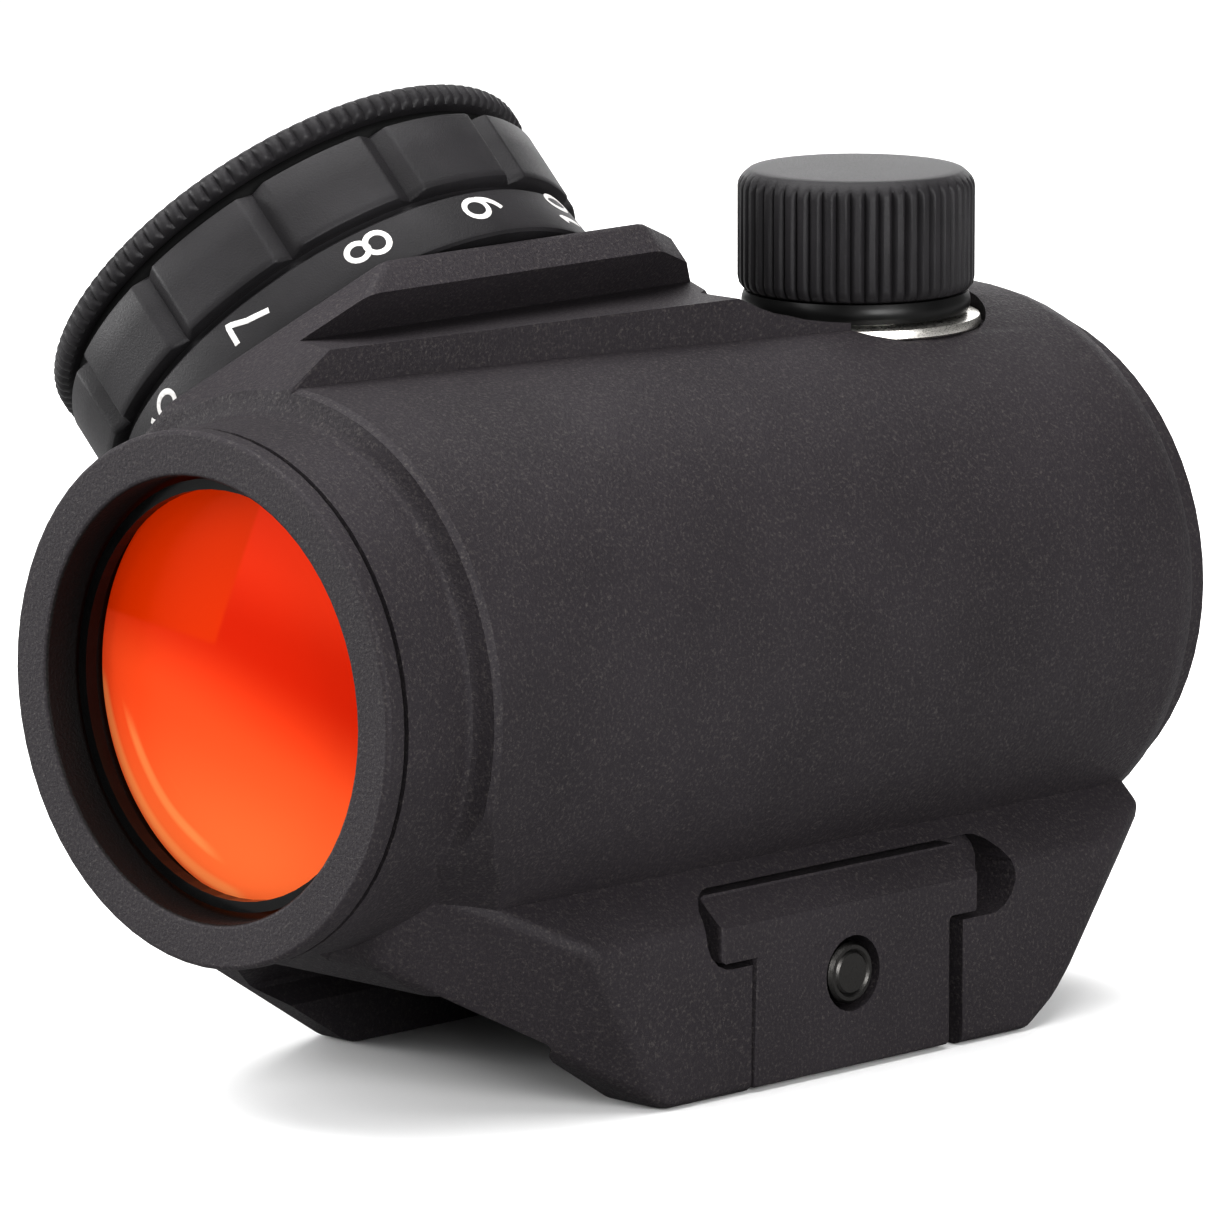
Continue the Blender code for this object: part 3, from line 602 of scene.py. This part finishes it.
def finer(stroke):
    """The same stroke with its long straight runs split, so that they can bend with the band."""
    points = stroke[:1]
    for first, second in zip(stroke, stroke[1:]):
        runs = max(1, math.ceil(math.dist(first, second) / LONGEST_RUN))
        for step in range(1, runs + 1):
            share = step / runs
            points.append(tuple(a + (b - a) * share for a, b in zip(first, second)))
    return points


def on_band(middle, around, along, lift):
    """Point on the number band: around it from an angle, and along the dial axis."""
    height = DIGIT_H + along
    turn = middle + around / band_radius(DIGIT_H)
    radius = band_radius(height) + lift
    local = Vector((math.sin(turn) * radius, math.cos(turn) * radius, height)) * MM
    return DIAL_FRAME @ local


def dial_number(number):
    """One number in painted strokes on the band. Its top points to the next lower number."""
    text = str(number)
    width = DIGIT_WIDTH * (TWIN_DIGIT_SHARE if len(text) > 1 else 1.0)
    middle = math.tau * (GRIP_COUNT - number) / GRIP_COUNT + DIAL_PHASE
    curve = bpy.data.curves.new(f"number_{number}", "CURVE")
    curve.dimensions = "3D"
    curve.bevel_depth = STROKE_R
    curve.bevel_resolution = 2
    curve.use_fill_caps = True
    for place, digit in enumerate(text):
        shift = (place - (len(text) - 1) / 2) * width * TWIN_DIGIT_PITCH
        for stroke in DIGIT_STROKES[digit]:
            closed = math.dist(stroke[0], stroke[-1]) < CLOSED_GAP
            points = finer(stroke)[:-1] if closed else finer(stroke)
            spline = curve.splines.new("POLY")
            spline.points.add(len(points) - 1)
            for point, (x, y) in zip(spline.points, points):
                point.co = (x * width + shift, y * DIGIT_HEIGHT, 0, 1)
            spline.use_cyclic_u = closed
    holder = bpy.data.objects.new("holder", curve)
    bpy.context.scene.collection.objects.link(holder)
    bpy.context.view_layer.update()
    evaluated = holder.evaluated_get(bpy.context.evaluated_depsgraph_get())
    mesh = bpy.data.meshes.new_from_object(evaluated)
    bpy.data.objects.remove(holder, do_unlink=True)
    for vert in mesh.vertices:
        lift = STROKE_LIFT + vert.co.z * STROKE_FLATTEN
        vert.co = on_band(middle, vert.co.y, vert.co.x, lift)
    obj = bpy.data.objects.new(f"number_{number}", mesh)
    bpy.context.scene.collection.objects.link(obj)
    dress(obj, "paint")
    shade(obj)
    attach(obj, "dial")
    return obj


def battery_cover():
    """Cover with a finely ridged rim, a coin slot and a plug that fits the dial."""
    top = COVER_TOP_H
    rows = [(0, top, 0), (6, top, 0), (12.8, top, 0), (13.7, top - 0.02, 0),
            (14.05, top - 0.12, 0.3), (14.3, top - 0.32, 0.9), (DIAL_R, top - 0.5, 1),
            (DIAL_R, 25.6, 1), (14.3, 25.42, 0.9), (14.05, 25.27, 0.3),
            (13.7, COVER_BOTTOM_H, 0), (12.5, COVER_BOTTOM_H, 0), (12.5, 23.3, 0),
            (11.2, 23.3, 0), (11.2, 24.3, 0), (0, 24.3, 0)]
    cover = lathe("cover_shell", rows, DIAL_FRAME, COVER_RIDGES * COVER_STEPS_PER_RIDGE,
                  ridges(COVER_RIDGES, COVER_RIDGE_DEPTH, 0.3))
    ends = []
    for side in (1, -1):
        for step in range(9):
            angle = side * math.pi / 2 - math.pi / 2 + math.pi * (step / 8 - 0.5)
            ends.append((side * SLOT_HALF_LENGTH + SLOT_R * math.cos(angle),
                         SLOT_R * math.sin(angle)))
    cut_with(cover, prism(ends, SLOT_FLOOR_H, top + 1.3, DIAL_FRAME))
    return stand_for(cover, "battery_cap", "battery_cover", "cap_black")


def clamp_screw():
    """Cross screw with a threaded shank, a chamfered end and a ridged socket head."""
    end = SCREW_END_X
    rows = [(0, end, 0), (1.05, end, 0), (1.18, end - 0.11, 0), (1.3, end, 0),
            (1.5, end - 0.02, 0), (1.68, end - 0.21, 0), (SCREW_R, end - 0.55, 0)]
    height = 13.3
    while height > -10.8:
        rows += [(SCREW_R, height, 0), (1.56, height - SCREW_PITCH / 2, 0)]
        height -= SCREW_PITCH
    head = SCREW_HEAD_R
    rows += [(SCREW_R, -11.5, 0), (SCREW_R, -12.4, 0), (2.95, -12.4, 0), (head, -12.55, 0.5),
             (head, -12.7, 1), (head, -14.55, 1), (3.0, -14.8, 0.6), (2.8, SCREW_HEAD_END_X, 0),
             (0, SCREW_HEAD_END_X, 0)]
    screw = lathe("cross_screw_body", rows, SCREW_FRAME, SCREW_STEPS,
                  ridges(SCREW_HEAD_RIDGES, SCREW_RIDGE_DEPTH))
    hexagon = [(SOCKET_R * math.cos(math.tau * i / 6), SOCKET_R * math.sin(math.tau * i / 6))
               for i in range(6)]
    cut_with(screw, prism(hexagon, SCREW_HEAD_END_X - 1.0, SOCKET_FLOOR_X, SCREW_FRAME))
    return stand_for(screw, "clamp_screw", "cross_screw", "steel", "dark_steel")


def snug_plate():
    """Clamp plate with softened edges. Its stem's front wall stands close to the pocket."""
    mesh = NODES["clamp_plate"].data.copy()
    front_y = world_point(0, PLATE_STEM_FRONT_Y, 0).y
    arm_z = world_point(0, 0, PLATE_ARM_BOTTOM_Z).z
    for vert in mesh.vertices:
        if vert.co.z < arm_z and abs(vert.co.y - front_y) < 2 * PLATE_STEM_SHIFT * MM:
            vert.co.y -= PLATE_STEM_SHIFT * MM
    plate = bpy.data.objects.new("clamp_plate_skin", mesh)
    bpy.context.scene.collection.objects.link(plate)
    stand_for(plate, "clamp_plate", "jaw", "anodised")
    return soften(plate, FINE_EDGE)


def seal_ring(node, body, outer, inner, bottom, top, matrix, bulge=0.15, material="rubber"):
    """Rubber ring with a rounded outside that fills its gap."""
    rows = [(inner, top, 0), (outer - 0.12, top, 0)]
    for step in range(1, 6):
        share = step / 6
        rows.append((outer - 0.12 + bulge * math.sin(math.pi * share),
                     top + (bottom - top) * share, 0))
    rows += [(outer - 0.12, bottom, 0), (inner, bottom, 0)]
    ring = lathe(node + "_ring", rows, matrix, ROUND_STEPS, closed=True)
    return stand_for(ring, node, body, "rubber", material)


def turret_seat(node, matrix):
    """Threaded seat with a bright flange, a ledge under the gasket and fine thread turns."""
    bore, thread = SEAT_BORE_R, SEAT_THREAD_R
    rows = [(bore, 20.2, 0), (4.8, 20.2, 0), (thread, 20.0, 0)]
    height = 19.8
    while height > 16.4:
        rows += [(thread, height, 0), (4.8, height - SEAT_PITCH / 2, 0)]
        height -= SEAT_PITCH
    rows += [(thread, 16.2, 0), (thread, 14.92, 0), (6.55, 14.85, 0), (6.72, 14.8, 0),
             (6.78, 14.66, 0), (6.78, 14.34, 0), (6.7, 14.24, 0), (bore, 14.24, 0)]
    seat = lathe(node + "_turned", rows, matrix, ROUND_STEPS, closed=True)
    return stand_for(seat, node, "housing", "bright_metal")


def objective():
    """Coated front lens with a slightly hollow face inside a polished bevel."""
    shares = [step / LENS_RINGS for step in range(LENS_RINGS + 1)]
    face = [(LENS_FACE_R * share, LENS_RIM_Y - LENS_HOLLOW * (1 - share ** 2), 0)
            for share in shares]
    rows = face + [(11.15, 3.55, 0), (LENS_R, 3.7, 0), (LENS_R, 5.8, 0), (0, 5.8, 0)]
    lens = lathe("objective_glass", rows, AXIS_FRAME, ROUND_STEPS)
    return stand_for(lens, "objective_lens", "housing", "lens_coating")


def soften(obj, width_mm, segments=2):
    """Small round edges over a mesh whose seams are welded first."""
    weld = obj.modifiers.new("weld", "WELD")
    weld.merge_threshold = WELD_REACH * MM
    edges = obj.modifiers.new("edges", "BEVEL")
    edges.width = width_mm * MM
    edges.segments = segments
    edges.limit_method = "ANGLE"
    edges.angle_limit = ROUNDED_ANGLE
    normals = obj.modifiers.new("normals", "WEIGHTED_NORMAL")
    normals.weight = 50
    return obj


def build_pieces():
    """Finer shapes for the nodes that need them, and rounded edges on the housing and rings."""
    turret_cap("elevation_cap", ELEVATION_FRAME, "elevation_cover")
    turret_cap("windage_cap", WINDAGE_FRAME, "windage_cover")
    dial_body()
    for number in range(GRIP_COUNT):
        dial_number(number)
    battery_cover()
    clamp_screw()
    objective()
    snug_plate()
    for name, matrix in (("elevation", ELEVATION_FRAME), ("windage", WINDAGE_FRAME)):
        seal_ring(f"{name}_gasket", f"{name}_cover_seal", 6.2, 5.3, 15.05, 16.12, matrix)
        turret_seat(f"{name}_seat", matrix)
    seal_ring("battery_cap_seal", "battery_cover_seal", 13.6, 12.65, 24.45, 25.2, DIAL_FRAME,
              0.1, "matt_rubber")
    for name in ("front_bezel_ring", "rear_bezel_ring"):
        soften(NODES[name], FINE_EDGE)
    soften(NODES["main_body"], BODY_EDGE)


def dress_cad_nodes():
    """Give every CAD node the material of its slot."""
    slots = {part["node"]: part["material_slot"] for part in frame["record"]["subparts"]}
    for name, node in NODES.items():
        dress(node, slots[name])
        shade(node)


# ---------------------------------------------------------------- stage

def area_light(name, location, size, power):
    """Soft rectangular light that faces the object."""
    light = bpy.data.lights.new(name, "AREA")
    light.shape = "RECTANGLE"
    light.size, light.size_y = size
    light.energy = power
    obj = bpy.data.objects.new(name, light)
    obj.location = location
    aim = Vector(LIGHT_TARGET) - Vector(location)
    obj.rotation_euler = aim.to_track_quat("-Z", "Y").to_euler()
    bpy.context.scene.collection.objects.link(obj)


def build_world():
    """White for the camera, and a weaker fill for everything that it lights."""
    world = bpy.data.worlds.new("studio")
    bpy.context.scene.world = world
    world.use_nodes = True
    tree = world.node_tree
    background = tree.nodes["Background"]
    path = tree.nodes.new("ShaderNodeLightPath")
    strength = tree.nodes.new("ShaderNodeMapRange")
    strength.inputs["To Min"].default_value = FILL_STRENGTH
    strength.inputs["To Max"].default_value = 1.0
    tree.links.new(path.outputs["Is Camera Ray"], strength.inputs["Value"])
    tree.links.new(strength.outputs["Result"], background.inputs["Strength"])
    background.inputs["Color"].default_value = (1.0, 1.0, 1.0, 1.0)


def build_stage():
    """Pale floor under the object's feet, the lights and the plain view transform."""
    foot_z = min(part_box("main_body")[0].z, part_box("clamp_plate")[0].z)
    shape = bmesh.new()
    bmesh.ops.create_grid(shape, x_segments=8, y_segments=8, size=FLOOR_SIZE)
    floor = add_mesh("floor", shape, Matrix.Translation((0, 0, foot_z - FLOOR_GAP)))
    floor.data.materials.append(floor_material())

    build_world()
    for name, location, size, power in LIGHTS:
        area_light(name, location, size, power)

    view = bpy.context.scene.view_settings
    view.view_transform = "Standard"
    view.gamma = VIEW_GAMMA


def build_camera():
    """Long lens from the front and right, a little above the object."""
    camera = bpy.data.cameras.new("camera")
    camera.sensor_width = CAMERA_SENSOR
    camera.lens = CAMERA_LENS
    camera.clip_start = 0.01
    camera.clip_end = 50
    obj = bpy.data.objects.new("camera", camera)
    back = Vector(CAMERA_BACK).normalized()
    right = Vector(CAMERA_RIGHT).normalized()
    up = back.cross(right).normalized()
    right = up.cross(back)
    pose = Matrix((right, up, back)).transposed().to_4x4()
    pose.translation = CAMERA_POSITION
    obj.matrix_world = pose
    bpy.context.scene.collection.objects.link(obj)
    bpy.context.scene.camera = obj


dress_cad_nodes()
build_pieces()
build_stage()
build_camera()
